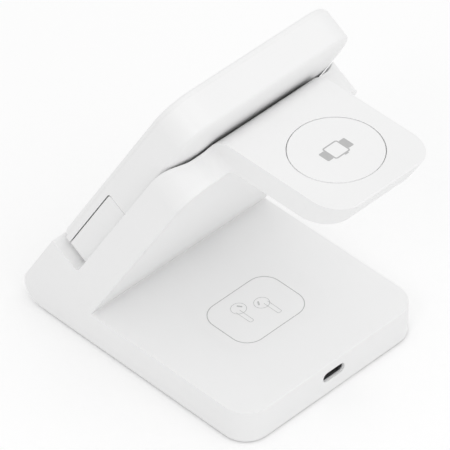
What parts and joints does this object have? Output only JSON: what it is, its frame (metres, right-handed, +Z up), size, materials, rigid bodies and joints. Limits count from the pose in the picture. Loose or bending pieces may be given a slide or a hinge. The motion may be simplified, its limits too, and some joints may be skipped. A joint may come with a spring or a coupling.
{
  "type": "wireless charger",
  "caption": "Leaning wireless charging stand with a tilting phone panel, a flat watch shelf behind it and an earbud dish on its base.",
  "frame": {"origin": "centre of the overall box on the surface that the rubber feet stand on", "axes": "+X across the stand, +Y towards the rear face with the power inlet, +Z up; the phone side faces -Y"},
  "size_m": [0.077, 0.119, 0.1179],
  "materials": {
    "white_shell": "fine matt white moulding",
    "white_cover": "fine matt white moulding",
    "foot_rubber": "matt grey rubber",
    "steel": "plain zinc-plated steel",
    "copper": "enamelled copper winding",
    "ferrite": "matt dark ceramic",
    "board": "green circuit board",
    "black_parts": "black moulded parts",
    "magnet": "nickel-plated magnet",
    "flex": "amber film lead"
  },
  "bodies": {
    "stand": {"main_housing": "white_shell", "spine_cover": "white_cover", "bottom_cover": "white_cover", "rubber_feet": "foot_rubber", "ballast_plate": "steel", "main_board": "board", "board_parts": "black_parts", "inlet_shell": "steel", "inlet_tongue": "black_parts", "bottom_screws": "steel", "earbud_ferrite": "ferrite", "earbud_coil": "copper", "watch_disc": "white_shell", "watch_coil": "copper", "watch_ferrite": "ferrite", "watch_magnet": "magnet", "watch_board": "board", "watch_flex": "flex", "hinge_pin": "steel"},
    "panel": {"hinge_block": "white_shell", "panel_housing": "white_shell", "panel_front": "white_cover", "phone_coil": "copper", "phone_ferrite": "ferrite", "magnet_ring": "magnet", "panel_board": "board", "panel_screws": "steel"}
  },
  "joints": [
    {"name": "panel_tilt", "type": "hinge", "parent": "stand", "child": "panel", "pos_m": [0, -0.03718, 0.03113], "axis": [1, 0, 0], "range_deg": [0, 15]}
  ]
}
